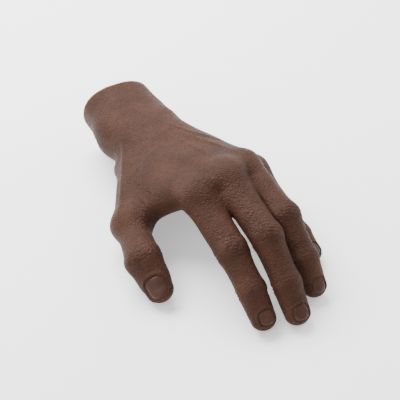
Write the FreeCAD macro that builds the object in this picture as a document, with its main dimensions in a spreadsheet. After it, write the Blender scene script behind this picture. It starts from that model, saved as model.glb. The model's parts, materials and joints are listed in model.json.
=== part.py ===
import FreeCAD, Part
import math
import os
import Sketcher

# Passive posable prosthetic hand, left, in millimetres.
# Origin: centre of the wrist coupling face; +Y out of the wrist, fingers toward -Y,
# thumb toward -X, +Z out of the back of the hand.

V = FreeCAD.Vector
Rot = FreeCAD.Rotation
doc = FreeCAD.newDocument("ProstheticHand")
sheet = doc.addObject("Spreadsheet::Sheet", "Sizes")
ORIGIN = FreeCAD.Placement()

# ---------------------------------------------------------------- driving sizes
SIZES = {
    "wrist_behind_face": 33.0, "wrist_turn": 12.5, "palm_pitch": -13.0, "palm_roll": 4.5,
    "skin": 2.0, "running": 0.05, "skin_gap": 0.35,
    "pin_radius": 1.25, "slot_extra": 0.2, "slot_depth": 4.6, "tongue_width": 4.8,
    "stud_radius": 6.0, "stud_reach": 12.0, "stud_root": 10.0, "stud_shank": 5.0,
    "stud_relief": 0.6, "mouth_radius": 6.6, "mouth_depth": 1.2,
    "coupler_radius": 14.5, "coupler_plate": 3.0, "spigot_radius": 9.0, "spigot_length": 15.0,
    "brake_thick": 1.45, "brake_inner": 9.3,
    "housing_radius": 16.0, "housing_start": 4.5, "housing_end": 26.0, "cavity_radius": 11.3,
    "cavity_start": 11.3, "ring_outer": 10.9, "ring_inner": 8.4, "ring_start": 12.0,
    "ring_thick": 1.0, "housing_screw_circle": 13.6, "housing_screw_radius": 1.25,
    "housing_head_radius": 2.2, "housing_head_thick": 1.8, "housing_screw_depth": 8.0,
    "collar_thick": 8.0,
    "plate_thick": 8.0, "plate_low": -4.5, "cover_thick": 2.0,
    "cover_screw_radius": 1.25, "cover_head_radius": 2.4, "cover_head_thick": 1.5,
    "padding_front": 4.5,
    "nail_thick": 0.9,
}
# digit: joint place on the palm, set of the digit, rest bends, bone lengths,
# half widths and half depths at each joint and at the tip, knuckle ball radii
FINGERS = {
    "index": dict(x=-26.0, y=-86.0, z=-1.5, spread=-8.7, rest=(33.5, 11.0, 8.5),
                  bones=(44.0, 26.5, 25.5), half=3.6, width=8.4,
                  wide=(9.6, 9.9, 9.0, 8.4), deep=(9.3, 9.1, 7.8, 7.3),
                  balls=(7.8, 7.1, 6.0), nail=(11.5, 11.5)),
    "middle": dict(x=-4.0, y=-89.0, z=2.0, spread=-10.3, rest=(27.5, 22.5, 8.0),
                   bones=(49.0, 31.0, 26.0), half=3.6, width=8.4,
                   wide=(9.4, 9.7, 9.0, 8.4), deep=(9.2, 9.1, 7.8, 7.3),
                   balls=(7.8, 7.1, 6.0), nail=(12.0, 12.0)),
    "ring": dict(x=16.6, y=-83.0, z=-0.5, spread=-8.6, rest=(23.0, 25.5, 12.0),
                 bones=(46.0, 29.0, 25.0), half=3.6, width=8.4,
                 wide=(8.6, 8.9, 8.4, 7.9), deep=(8.5, 8.4, 7.6, 7.2),
                 balls=(7.2, 6.6, 5.8), nail=(11.5, 11.5)),
    "little": dict(x=33.8, y=-73.0, z=-12.0, spread=-6.5, rest=(32.7, 2.0, 2.0),
                   bones=(35.0, 19.0, 21.0), half=3.1, width=7.2,
                   wide=(7.0, 7.3, 7.0, 6.6), deep=(6.9, 6.8, 6.5, 6.1),
                   balls=(5.8, 5.2, 4.9), nail=(9.5, 9.5)),
}
THUMB = dict(x=-29.6, y=-14.0, z=-12.8, swing=33.4, drop=15.4, turn=25.2, kink=7.9,
             rest=(0.0, 1.8, 34.0), bones=(45.0, 33.0, 30.0), half=3.9, width=9.0,
             wide=(13.2, 11.8, 11.4, 10.4), deep=(12.2, 10.8, 9.4, 8.5),
             balls=(0.0, 8.6, 7.5), nail=(14.0, 15.0))
# half of each joint's travel plus a little, cut from each side of the joint
PALM_RELIEF = (34.0, 36.5, 24.0)
BACK_RELIEF = (2.0, 2.0, 2.0)
THUMB_PALM_RELIEF = (0.0, 14.5, 28.5)
THUMB_BACK_RELIEF = (0.0, 6.5, 2.0)
SEGMENTS = ("proximal", "middle", "distal")
THUMB_SEGMENTS = ("metacarpal", "proximal", "distal")
SLEEVE_START = 8.0
SWEEP_ANGLES = (-12.0, -6.0, 0.0, 6.0, 12.0)

values = {}
row_number = 0


def size(alias, value):
    global row_number
    row_number += 1
    cell = "B%d" % row_number
    sheet.set("A%d" % row_number, alias)
    sheet.set(cell, repr(value))
    sheet.setAlias(cell, alias)
    values[alias] = value


def digit_sizes(name, data, segments):
    for segment, bone in zip(segments, data["bones"]):
        size("%s_%s_bone" % (name, segment), bone)
    for place, wide, deep in zip(("base", "first", "second", "tip"), data["wide"], data["deep"]):
        size("%s_%s_wide" % (name, place), wide)
        size("%s_%s_deep" % (name, place), deep)
    for place, ball in zip(("base", "first", "second"), data["balls"]):
        size("%s_%s_ball" % (name, place), ball)
    size("%s_link_half" % name, data["half"])
    size("%s_link_width" % name, data["width"])
    size("%s_nail_wide" % name, data["nail"][0])
    size("%s_nail_long" % name, data["nail"][1])


for alias, value in SIZES.items():
    size(alias, value)
for name, data in FINGERS.items():
    digit_sizes(name, data, SEGMENTS)
digit_sizes("thumb", THUMB, THUMB_SEGMENTS)
doc.recompute()


# ---------------------------------------------------------------- helpers
def at(x=0.0, y=0.0, z=0.0):
    return FreeCAD.Placement(V(x, y, z), Rot())


def turn(axis, angle):
    return FreeCAD.Placement(V(0, 0, 0), Rot(axis, angle))


def about_x(angle):
    return turn(V(1, 0, 0), angle)


def about_y(angle):
    return turn(V(0, 1, 0), angle)


def about_z(angle):
    return turn(V(0, 0, 1), angle)


ALONG_X = about_y(90)
ALONG_Y = about_x(-90)
SECTION = turn(V(1, 1, 1), 120)


def prim(kind, name, place, **dims):
    item = doc.addObject("Part::" + kind, name)
    for key, value in dims.items():
        if isinstance(value, str):
            item.setExpression(key, value)
        else:
            setattr(item, key, value)
    item.Placement = place
    return item


def box(name, frame, low, high):
    place = frame.multiply(at(low[0], low[1], low[2]))
    return prim("Box", name, place, Length=high[0] - low[0], Width=high[1] - low[1],
                Height=high[2] - low[2])


def fuse(name, items):
    if len(items) == 1:
        return items[0]
    item = doc.addObject("Part::MultiFuse", name)
    item.Shapes = items
    return item


def cut(name, base, tools):
    item = doc.addObject("Part::Cut", name)
    item.Base = base
    item.Tool = fuse(name + "_tools", tools)
    return item


def carve(name, base, tools):
    """One cut after another, each its own step."""
    for k, tool in enumerate(tools):
        label = name if k == len(tools) - 1 else "%s_step%d" % (name, k)
        item = doc.addObject("Part::Cut", label)
        item.Base = base
        item.Tool = tool
        base = item
    return base


def common(name, items):
    item = doc.addObject("Part::MultiCommon", name)
    item.Shapes = items
    return item


def loft(name, sections):
    item = doc.addObject("Part::Loft", name)
    item.Sections = sections
    item.Solid = True
    item.Ruled = False
    return item


def oval(name, place, wide, deep):
    return prim("Ellipse", name, place, MajorRadius=wide, MinorRadius=deep)


def body(name):
    return doc.addObject("PartDesign::Body", name)


def sketch(owner, name, role, offset=None, bound_x=None):
    plane = next(f for f in owner.Origin.OriginFeatures if f.Role == role)
    item = owner.newObject("Sketcher::SketchObject", name)
    item.AttachmentSupport = [(plane, "")]
    item.MapMode = "FlatFace"
    if offset is not None:
        item.AttachmentOffset = offset
    if bound_x:
        item.setExpression("AttachmentOffset.Base.x", bound_x)
    return item


def dimension(item, kind, refs, value, name, rule=None):
    number = item.addConstraint(Sketcher.Constraint(kind, *refs, value))
    item.renameConstraint(number, name)
    if rule:
        item.setExpression("Constraints." + name, rule)


def polygon(item, points, tag="p", rules=None):
    rules = rules or {}
    first = item.GeometryCount
    count = len(points)
    for k in range(count):
        a = points[k]
        b = points[(k + 1) % count]
        item.addGeometry(Part.LineSegment(V(a[0], a[1], 0), V(b[0], b[1], 0)), False)
    for k in range(count):
        item.addConstraint(Sketcher.Constraint("Coincident", first + k, 2,
                                               first + (k + 1) % count, 1))
    for k in range(count):
        for kind, axis in (("DistanceX", 0), ("DistanceY", 1)):
            name = "%s%s_%s" % (tag, "abcdefghijkl"[k], "xy"[axis])
            dimension(item, kind, (-1, 1, first + k, 1), points[k][axis], name,
                      rules.get((k, axis)))


def circle(item, x, y, radius, name, rule=None):
    number = item.addGeometry(Part.Circle(V(x, y, 0), V(0, 0, 1), radius), False)
    if x == 0 and y == 0:
        item.addConstraint(Sketcher.Constraint("Coincident", number, 3, -1, 1))
    else:
        dimension(item, "DistanceX", (-1, 1, number, 3), x, name + "_x")
        dimension(item, "DistanceY", (-1, 1, number, 3), y, name + "_y")
    dimension(item, "Radius", (number,), radius, name, rule)


def pad(owner, profile, name, length, rule=None, midplane=False, reverse=False):
    item = owner.newObject("PartDesign::Pad", name)
    item.Profile = profile
    item.Length = length
    item.Midplane = midplane
    item.Reversed = reverse
    if rule:
        item.setExpression("Length", rule)
    return item


def pocket_through(owner, profile, name):
    item = owner.newObject("PartDesign::Pocket", name)
    item.Profile = profile
    item.Type = "ThroughAll"
    item.Midplane = True
    return item


NODES = []


def node(item, label, place=None):
    item.Label = label
    if place is not None:
        item.Placement = place
    NODES.append(item)
    return item


# ---------------------------------------------------------------- frames
palm = at(0, -values["wrist_behind_face"], 0)
palm = palm.multiply(about_z(values["wrist_turn"]))
palm = palm.multiply(about_x(values["palm_pitch"])).multiply(about_y(values["palm_roll"]))


def finger_root(data):
    return at(data["x"], data["y"], data["z"]).multiply(about_z(data["spread"] - 90))


def digit_frames(root, data, kink=0.0):
    frames = [root.multiply(about_y(data["rest"][0]))]
    for k in (0, 1):
        twist = kink if k == 0 else 0.0
        step = at(data["bones"][k]).multiply(about_z(twist)).multiply(about_y(data["rest"][k + 1]))
        frames.append(frames[k].multiply(step))
    return frames


THUMB_ROOT = at(THUMB["x"], THUMB["y"], THUMB["z"]).multiply(about_z(-90 - THUMB["swing"]))
THUMB_ROOT = THUMB_ROOT.multiply(about_y(THUMB["drop"])).multiply(about_x(THUMB["turn"]))


# ---------------------------------------------------------------- digit pieces
def make_link(name, digit, segment, reach, clevis, place, kink=0.0):
    half = values[digit + "_link_half"]
    width = values[digit + "_link_width"]
    bone = values["%s_%s_bone" % (digit, segment)]
    bone_rule = "Sizes.%s_%s_bone" % (digit, segment)
    half_rule = "Sizes.%s_link_half" % digit
    length = bone if clevis else bone - 11.0
    length_rule = bone_rule if clevis else bone_rule + " - 11"
    link = body(name)
    side = sketch(link, name + "_side", "XZ_Plane")
    quarter = math.pi / 2
    a = side.addGeometry(Part.ArcOfCircle(Part.Circle(V(0, 0, 0), V(0, 0, 1), half),
                                          quarter, 3 * quarter), False)
    b = side.addGeometry(Part.ArcOfCircle(Part.Circle(V(length, 0, 0), V(0, 0, 1), half),
                                          -quarter, quarter), False)
    low = side.addGeometry(Part.LineSegment(V(0, -half, 0), V(length, -half, 0)), False)
    top = side.addGeometry(Part.LineSegment(V(length, half, 0), V(0, half, 0)), False)
    side.addConstraint(Sketcher.Constraint("Coincident", a, 3, -1, 1))
    side.addConstraint(Sketcher.Constraint("PointOnObject", b, 3, -1))
    side.addConstraint(Sketcher.Constraint("Tangent", a, 2, low, 1))
    side.addConstraint(Sketcher.Constraint("Tangent", low, 2, b, 1))
    side.addConstraint(Sketcher.Constraint("Tangent", b, 2, top, 1))
    side.addConstraint(Sketcher.Constraint("Tangent", top, 2, a, 1))
    dimension(side, "Radius", (a,), half, "half", half_rule)
    dimension(side, "DistanceX", (-1, 1, b, 3), length, "bone", length_rule)
    pad(link, side, name + "_blank", width, "Sizes.%s_link_width" % digit, True)
    tongue = sketch(link, name + "_tongue", "XY_Plane")
    inner = values["tongue_width"] / 2
    for tag, sign in (("l", -1), ("r", 1)):
        points = [(-half - 2, sign * inner), (reach, sign * inner),
                  (reach, sign * (width / 2 + 1)), (-half - 2, sign * (width / 2 + 1))]
        sign_text = "-" if sign < 0 else ""
        rules = {(0, 1): sign_text + "Sizes.tongue_width / 2",
                 (1, 1): sign_text + "Sizes.tongue_width / 2"}
        polygon(tongue, points, tag, rules)
    pocket_through(link, tongue, name + "_tongue_cut")
    first = sketch(link, name + "_pivot", "XZ_Plane")
    circle(first, 0, 0, values["pin_radius"] + values["running"], "bore",
           "Sizes.pin_radius + Sizes.running")
    pocket_through(link, first, name + "_pivot_bore")
    if clevis:
        gap = (values["tongue_width"] + values["slot_extra"]) / 2
        depth = values["slot_depth"]
        slot = sketch(link, name + "_clevis", "XY_Plane",
                      FreeCAD.Placement(V(bone, 0, 0), Rot(V(0, 0, 1), kink)), bone_rule)
        rules = {(0, 1): "-(Sizes.tongue_width + Sizes.slot_extra) / 2",
                 (1, 1): "-(Sizes.tongue_width + Sizes.slot_extra) / 2",
                 (2, 1): "(Sizes.tongue_width + Sizes.slot_extra) / 2",
                 (3, 1): "(Sizes.tongue_width + Sizes.slot_extra) / 2",
                 (0, 0): "-Sizes.slot_depth", (3, 0): "-Sizes.slot_depth"}
        polygon(slot, [(-depth, -gap), (half + 3, -gap), (half + 3, gap), (-depth, gap)],
                "s", rules)
        pocket_through(link, slot, name + "_clevis_cut")
        second = sketch(link, name + "_far", "XZ_Plane",
                        FreeCAD.Placement(V(bone, 0, 0), Rot(V(0, 1, 0), kink)), bone_rule)
        circle(second, 0, 0, values["pin_radius"], "bore", "Sizes.pin_radius")
        pocket_through(link, second, name + "_far_bore")
    return node(link, name, place)


def make_pin(name, digit, place):
    pin = body(name)
    profile = sketch(pin, name + "_end", "XZ_Plane")
    circle(profile, 0, 0, values["pin_radius"], "radius", "Sizes.pin_radius")
    pad(pin, profile, name + "_length", values[digit + "_link_width"],
        "Sizes.%s_link_width" % digit, True)
    return node(pin, name, place)


def bevels(name, joint, side, palm_relief, back_relief):
    tools = []
    low = 0.0 if side > 0 else -25.0
    for tag, angle in (("palm", palm_relief * side), ("back", -back_relief * side)):
        if angle:
            frame = joint.multiply(about_y(angle))
            tools.append(box("%s_%s" % (name, tag), frame, (low, -20, -30),
                             (low + 25.0, 20, 30)))
    return tools


def knuckle_slot(name, joint, half, above=0.4):
    gap = values["tongue_width"] / 2 + 0.3
    return box(name, joint, (-values["slot_depth"], -gap, -16), (16, gap, half + above))


def pin_space(name, joint, width):
    place = joint.multiply(at(0, -width / 2 - 0.15)).multiply(ALONG_Y)
    return prim("Cylinder", name, place, Radius="Sizes.pin_radius + 0.15", Height=width + 0.3)


def link_channel(name, digit, start, end):
    half = values[digit + "_link_half"]
    width = values[digit + "_link_width"]
    channel = box(name, ORIGIN, (start, -width / 2, -half), (end, width / 2, half))
    channel.setExpression("Width", "Sizes.%s_link_width" % digit)
    channel.setExpression("Height", "2 * Sizes.%s_link_half" % digit)
    return channel


def make_sleeve(name, digit, segment, k, place, relief, back, kink=0.0, start=0.0):
    places = ("base", "first", "second", "tip")
    here = "Sizes.%s_%s" % (digit, places[k])
    there = "Sizes.%s_%s" % (digit, places[k + 1])
    bone = values["%s_%s_bone" % (digit, segment)]
    half = values[digit + "_link_half"]
    width = values[digit + "_link_width"]
    last = k == 2
    tip_long = values[digit + "_tip_deep"] + 0.6
    end = bone - tip_long if last else bone
    waist = 0.5 if last else 0.47
    middle = "(%s_%s + %s_%s) / 2"
    narrow = 1.0 if last else 0.965
    sections = [oval(name + "_near", at(start).multiply(SECTION), here + "_wide", here + "_deep"),
                oval(name + "_waist", at(start + (end - start) * waist).multiply(SECTION),
                     ("%s * " + middle) % (narrow, here, "wide", there, "wide"),
                     ("%s * " + middle) % (narrow, here, "deep", there, "deep")),
                oval(name + "_far", at(end).multiply(SECTION), there + "_wide",
                     there + "_deep")]
    shell = loft(name + "_tube", sections)
    trims = []
    if start == 0.0:
        trims += bevels(name + "_root", ORIGIN, -1, relief[k], back[k])
        radius = "Sizes.%s_%s_ball + Sizes.skin_gap" % (digit, places[k])
        trims.append(prim("Sphere", name + "_socket", ORIGIN, Radius=radius))
    joint = at(bone).multiply(about_z(kink))
    if not last:
        trims += bevels(name + "_end", joint, 1, relief[k + 1], back[k + 1])
    if trims:
        shell = cut(name + "_trimmed", shell, trims)
    holes = []
    if last:
        tip = prim("Ellipsoid", name + "_pad", at(end - 0.4), Radius1=there + "_deep + 0.08",
                   Radius2=tip_long + 0.4, Radius3=there + "_wide + 0.08")
        shell = fuse(name + "_closed", [shell, tip])
        reach = bone - 11.0
        holes.append(link_channel(name + "_channel", digit, -12.0, reach))
        holes.append(prim("Cylinder", name + "_round", at(reach, -width / 2).multiply(ALONG_Y),
                          Radius="Sizes.%s_link_half" % digit,
                          Height="Sizes.%s_link_width" % digit))
    else:
        ball = prim("Sphere", name + "_ball", joint,
                    Radius="Sizes.%s_%s_ball" % (digit, places[k + 1]))
        shell = fuse(name + "_closed", [shell, ball])
        holes.append(link_channel(name + "_channel", digit, -12.0, bone))
        holes.append(prim("Cylinder", name + "_round", at(bone, -width / 2).multiply(ALONG_Y),
                          Radius="Sizes.%s_link_half" % digit,
                          Height="Sizes.%s_link_width" % digit))
        above = 2.2 if kink else 0.4
        holes.append(knuckle_slot(name + "_slot", joint, half, above))
        holes.append(pin_space(name + "_pin_space", joint, width))
    if last:
        holes.append(nail_seat(name + "_nail_seat", digit, bone))
    return node(cut(name, shell, holes), name, place)


def nail_seat(name, digit, bone):
    long = values[digit + "_nail_long"]
    wide = values[digit + "_nail_wide"]
    radius = values[digit + "_tip_wide"] + 0.5
    centre = values[digit + "_tip_deep"] + 0.2 - radius
    block = box(name + "_block", at(bone - 4.0 - long), (0, -wide / 2, 1.0),
                (long, wide / 2, 14))
    block.setExpression("Length", "Sizes.%s_nail_long" % digit)
    block.setExpression("Width", "Sizes.%s_nail_wide" % digit)
    core = prim("Cylinder", name + "_core", at(bone - 60, 0, centre).multiply(ALONG_X),
                Radius="Sizes.%s_tip_wide + 0.5 - Sizes.nail_thick" % digit, Height=80)
    return cut(name, block, [core])


def make_nail(name, digit, bone, place):
    radius = values[digit + "_tip_wide"] + 0.5
    centre = values[digit + "_tip_deep"] + 0.2 - radius
    seat = nail_seat(name + "_seat", digit, bone)
    outer = prim("Cylinder", name + "_outer", at(bone - 60, 0, centre).multiply(ALONG_X),
                 Radius="Sizes.%s_tip_wide + 0.5" % digit, Height=80)
    return node(common(name, [seat, outer]), name, place)


def make_digit(digit, data, root, segments, relief, back, kink=0.0, start=0.0, pins=()):
    frames = [palm.multiply(f) for f in digit_frames(root, data, kink)]
    for k in range(3):
        segment = segments[k]
        base = "%s_%s" % (digit, segment)
        reach = (start if k == 0 and start else data["balls"][k]) + 0.5
        bend = kink if k == 0 else 0.0
        make_link(base + "_link", digit, segment, reach, k < 2, frames[k], bend)
        make_sleeve(base + "_sleeve", digit, segment, k, frames[k], relief, back, bend,
                    start if k == 0 else 0.0)
        if k < 2:
            spot = frames[k].multiply(at(data["bones"][k])).multiply(about_z(bend))
            make_pin("%s_%s_pin" % (digit, pins[k]), digit, spot)
    make_nail(digit + "_nail", digit, data["bones"][2], frames[2])
    return frames


for name, data in FINGERS.items():
    make_digit(name, data, finger_root(data), SEGMENTS, PALM_RELIEF, BACK_RELIEF,
               pins=("pip", "dip"))
make_digit("thumb", THUMB, THUMB_ROOT, THUMB_SEGMENTS, THUMB_PALM_RELIEF, THUMB_BACK_RELIEF,
           THUMB["kink"], SLEEVE_START, ("mcp", "ip"))


# ---------------------------------------------------------------- palm frame (chassis)
def lug(name, root, half, width, back_reach):
    bar = box(name + "_bar", root, (-back_reach, -width / 2, -half), (0, width / 2, half))
    end = prim("Cylinder", name + "_end",
               root.multiply(at(0, -width / 2)).multiply(ALONG_Y), Radius=half, Height=width)
    return [bar, end]


def lug_cuts(name, root, half):
    gap = (values["tongue_width"] + values["slot_extra"]) / 2
    slot = box(name + "_slot", root, (-values["slot_depth"], -gap, -half - 2),
               (half + 3, gap, half + 2))
    bore = prim("Cylinder", name + "_bore", root.multiply(at(0, -15)).multiply(ALONG_Y),
                Radius="Sizes.pin_radius", Height=30)
    return [slot, bore]


PLATE = [(-12.0, -2.0), (12.0, -2.0), (15.0, -24.0), (25.0, -45.0), (28.0, -52.0),
         (28.0, -66.0), (-26.0, -70.0), (-29.0, -60.0), (-13.0, -30.0)]
HOLES = [(0.0, -32.0, 5.0), (-11.0, -52.0, 5.5), (9.0, -54.0, 5.5)]
COVER = [(-15.0, -40.0), (-9.5, -24.0), (9.5, -24.0), (20.0, -42.0), (20.0, -54.5),
         (-6.0, -56.5), (-7.0, -64.0), (-20.0, -64.0), (-20.0, -50.0)]
COVER_SCREWS = [(-5.0, -26.5), (6.0, -26.5), (-16.5, -60.5), (16.8, -49.5)]

plate = body("chassis_plate")
outline = sketch(plate, "plate_outline", "XY_Plane", at(0, 0, values["plate_low"]))
polygon(outline, PLATE)
pad(plate, outline, "plate_pad", values["plate_thick"], "Sizes.plate_thick")
drilled = sketch(plate, "plate_holes", "XY_Plane")
for k, (x, y, r) in enumerate(HOLES):
    circle(drilled, x, y, r, "light" + "abc"[k])
for k, (x, y) in enumerate(COVER_SCREWS):
    circle(drilled, x, y, values["cover_screw_radius"], "screw" + "abcd"[k],
           "Sizes.cover_screw_radius")
pocket_through(plate, drilled, "plate_hole_cut")

to_row = palm.inverse()


def ring_along_y(name, start, length, radius, frame=ORIGIN):
    return prim("Cylinder", name, frame.multiply(at(0, start, 0)).multiply(ALONG_Y),
                Radius=radius, Height=length)


metal = [plate]
removed = []
for name, data in FINGERS.items():
    root = finger_root(data)
    metal += lug(name + "_lug", root, data["half"], data["width"], 24.0)
    removed += lug_cuts(name + "_lug", root, data["half"])
metal += lug("thumb_lug", THUMB_ROOT, THUMB["half"], THUMB["width"], 15.0)
metal.append(box("thumb_bracket", at(-25, -7.5, -12), (0, 0, 0), (17, 8.0, 11.0)))
metal.append(box("little_bracket", at(22, -62, -14), (0, 0, 0), (11.0, 11.0, 11.0)))
removed += lug_cuts("thumb_lug", THUMB_ROOT, THUMB["half"])
face = -values["housing_end"]
metal.append(ring_along_y("collar", face - values["collar_thick"], values["collar_thick"],
                          "Sizes.housing_radius", to_row))


def housing_screw_spots():
    spots = []
    for k in range(4):
        angle = math.radians(45 + 90 * k)
        ring = values["housing_screw_circle"]
        spots.append((ring * math.cos(angle), ring * math.sin(angle)))
    return spots


def housing_screw_parts(tag, frame):
    parts = []
    tail = values["housing_screw_depth"]
    for k, (x, z) in enumerate(housing_screw_spots()):
        spot = frame.multiply(at(x, 0, z))
        under = face - values["collar_thick"]
        parts.append(ring_along_y("%s_shank%d" % (tag, k), under, values["collar_thick"] + tail,
                                  "Sizes.housing_screw_radius", spot))
        parts.append(ring_along_y("%s_head%d" % (tag, k), under - values["housing_head_thick"],
                                  values["housing_head_thick"], "Sizes.housing_head_radius",
                                  spot))
    return parts


removed += housing_screw_parts("chassis_screw", to_row)
chassis = node(cut("palm_chassis", fuse("chassis_metal", metal), removed), "palm_chassis", palm)

# ---------------------------------------------------------------- dorsal cover and its screws
cover_top = values["plate_low"] + values["plate_thick"]
cover = body("chassis_cover")
cover_outline = sketch(cover, "cover_outline", "XY_Plane", at(0, 0, cover_top))
polygon(cover_outline, COVER)
pad(cover, cover_outline, "cover_pad", values["cover_thick"], "Sizes.cover_thick")
cover_holes = sketch(cover, "cover_holes", "XY_Plane")
for k, (x, y) in enumerate(COVER_SCREWS):
    circle(cover_holes, x, y, values["cover_screw_radius"], "screw" + "abcd"[k],
           "Sizes.cover_screw_radius")
pocket_through(cover, cover_holes, "cover_hole_cut")
node(cover, "chassis_cover", palm)

screw_parts = []
for k, (x, y) in enumerate(COVER_SCREWS):
    under = cover_top + values["cover_thick"]
    screw_parts.append(prim("Cylinder", "cover_shank%d" % k, at(x, y, under - 8.0),
                            Radius="Sizes.cover_screw_radius", Height=8.0))
    screw_parts.append(prim("Cylinder", "cover_head%d" % k, at(x, y, under),
                            Radius="Sizes.cover_head_radius", Height="Sizes.cover_head_thick"))
cover_screws = node(fuse("cover_screws", screw_parts), "cover_screws", palm)

# ---------------------------------------------------------------- knuckle pins
pins = []
for name, data in FINGERS.items():
    spot = finger_root(data).multiply(at(0, -data["width"] / 2)).multiply(ALONG_Y)
    pins.append(prim("Cylinder", name + "_knuckle_pin", spot, Radius="Sizes.pin_radius",
                     Height="Sizes.%s_link_width" % name))
knuckle_pins = node(fuse("knuckle_pins", pins), "knuckle_pins", palm)
make_pin("thumb_cmc_pin", "thumb", palm.multiply(THUMB_ROOT))

# ---------------------------------------------------------------- wrist hardware
housing = body("wrist_housing")
ring_profile = sketch(housing, "housing_ring", "XZ_Plane",
                      at(0, 0, values["housing_start"]))
circle(ring_profile, 0, 0, values["housing_radius"], "outer", "Sizes.housing_radius")
housing_length = values["housing_end"] - values["housing_start"]
pad(housing, ring_profile, "housing_pad", housing_length, "Sizes.housing_end - Sizes.housing_start")
bore = sketch(housing, "housing_bore", "XZ_Plane")
circle(bore, 0, 0, values["spigot_radius"] + values["running"], "bore",
       "Sizes.spigot_radius + Sizes.running")
pocket_through(housing, bore, "housing_bore_cut")
hollow = sketch(housing, "housing_hollow", "XZ_Plane", at(0, 0, values["cavity_start"]))
circle(hollow, 0, 0, values["cavity_radius"], "hollow", "Sizes.cavity_radius")
hollow_cut = housing.newObject("PartDesign::Pocket", "housing_hollow_cut")
hollow_cut.Profile = hollow
hollow_cut.Length = 40.0
hollow_cut.Reversed = True
screw_sketch = sketch(housing, "housing_screw_holes", "XZ_Plane",
                      at(0, 0, values["housing_end"] - values["housing_screw_depth"]))
for k, (x, z) in enumerate(housing_screw_spots()):
    circle(screw_sketch, x, z, values["housing_screw_radius"], "hole" + "abcd"[k],
           "Sizes.housing_screw_radius")
screw_cut = housing.newObject("PartDesign::Pocket", "housing_screw_cut")
screw_cut.Profile = screw_sketch
screw_cut.Length = 40.0
screw_cut.Reversed = True
node(housing, "wrist_housing", ORIGIN)
housing_screws = node(fuse("housing_screws", housing_screw_parts("screw", ORIGIN)),
                      "housing_screws", ORIGIN)

brake = body("brake_washer")
brake_sketch = sketch(brake, "brake_ring", "XZ_Plane",
                      at(0, 0, values["housing_start"] - values["brake_thick"]))
circle(brake_sketch, 0, 0, values["coupler_radius"], "outer", "Sizes.coupler_radius")
circle(brake_sketch, 0, 0, values["brake_inner"], "inner", "Sizes.brake_inner")
pad(brake, brake_sketch, "brake_pad", values["brake_thick"], "Sizes.brake_thick")
node(brake, "brake_washer", ORIGIN)

coupler = body("coupler_plate")
disc = sketch(coupler, "coupler_disc", "XZ_Plane")
circle(disc, 0, 0, values["coupler_radius"], "disc", "Sizes.coupler_radius")
pad(coupler, disc, "coupler_disc_pad", values["coupler_plate"], "Sizes.coupler_plate")
spigot = sketch(coupler, "coupler_spigot", "XZ_Plane")
circle(spigot, 0, 0, values["spigot_radius"], "spigot", "Sizes.spigot_radius")
pad(coupler, spigot, "coupler_spigot_pad", values["spigot_length"], "Sizes.spigot_length")
groove = sketch(coupler, "coupler_groove", "XZ_Plane", at(0, 0, values["ring_start"]))
circle(groove, 0, 0, values["spigot_radius"] + 2, "outer")
circle(groove, 0, 0, values["ring_inner"], "inner", "Sizes.ring_inner")
groove_cut = coupler.newObject("PartDesign::Pocket", "coupler_groove_cut")
groove_cut.Profile = groove
groove_cut.Length = values["ring_thick"]
groove_cut.setExpression("Length", "Sizes.ring_thick")
groove_cut.Reversed = True
root_sketch = sketch(coupler, "coupler_root", "XZ_Plane")
circle(root_sketch, 0, 0, values["stud_shank"], "root", "Sizes.stud_shank")
root_cut = coupler.newObject("PartDesign::Pocket", "coupler_root_cut")
root_cut.Profile = root_sketch
root_cut.Length = values["stud_root"]
root_cut.setExpression("Length", "Sizes.stud_root")
root_cut.Reversed = True
mouth_sketch = sketch(coupler, "coupler_mouth", "XZ_Plane")
circle(mouth_sketch, 0, 0, values["mouth_radius"], "mouth", "Sizes.mouth_radius")
mouth_cut = coupler.newObject("PartDesign::Pocket", "coupler_mouth_cut")
mouth_cut.Profile = mouth_sketch
mouth_cut.Length = values["mouth_depth"]
mouth_cut.setExpression("Length", "Sizes.mouth_depth")
mouth_cut.Reversed = True
node(coupler, "coupler_plate", ORIGIN)

stud = body("wrist_stud")
stud_sketch = sketch(stud, "stud_end", "XZ_Plane", at(0, 0, -values["stud_reach"]))
circle(stud_sketch, 0, 0, values["stud_radius"], "stud", "Sizes.stud_radius")
pad(stud, stud_sketch, "stud_pad", values["stud_reach"] - values["stud_relief"],
    "Sizes.stud_reach - Sizes.stud_relief")
shank_sketch = sketch(stud, "stud_shank", "XZ_Plane", at(0, 0, -values["stud_reach"]))
circle(shank_sketch, 0, 0, values["stud_shank"], "shank", "Sizes.stud_shank")
pad(stud, shank_sketch, "shank_pad", values["stud_reach"] + values["stud_root"],
    "Sizes.stud_reach + Sizes.stud_root")
node(stud, "wrist_stud", ORIGIN)

clip = body("retaining_ring")
clip_sketch = sketch(clip, "clip_ring", "XZ_Plane", at(0, 0, values["ring_start"]))
circle(clip_sketch, 0, 0, values["ring_outer"], "outer", "Sizes.ring_outer")
circle(clip_sketch, 0, 0, values["ring_inner"], "inner", "Sizes.ring_inner")
pad(clip, clip_sketch, "clip_pad", values["ring_thick"], "Sizes.ring_thick")
node(clip, "retaining_ring", ORIGIN)

# ---------------------------------------------------------------- glove skin and padding
# palm sections: place along the palm, centre x and z, half width, half depth
PALM_OVALS = [(-77.0, -5.0, -0.5, 27.5, 10.0), (-60.0, 1.0, -2.5, 37.0, 13.5),
              (-46.0, 0.5, -2.5, 37.5, 15.0),
              (-28.0, 1.0, -3.0, 33.5, 17.5), (-12.0, 1.5, -2.0, 29.5, 19.4)]
# wrist sections in the coupling frame: place along y, half width, half depth
WRIST_OVALS = [(-30.0, 27.5, 19.2), (-12.0, 26.8, 18.8), (12.0, 25.6, 18.4)]
# fleshy pads: palm place, half width, half length, half depth
FLESH = {"thumb_base": (-21.5, -18.0, -9.5, 18.0, 26.0, 14.5)}
PALM_SECTION = about_x(90)
HEAD_LENGTH = 28.0


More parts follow.
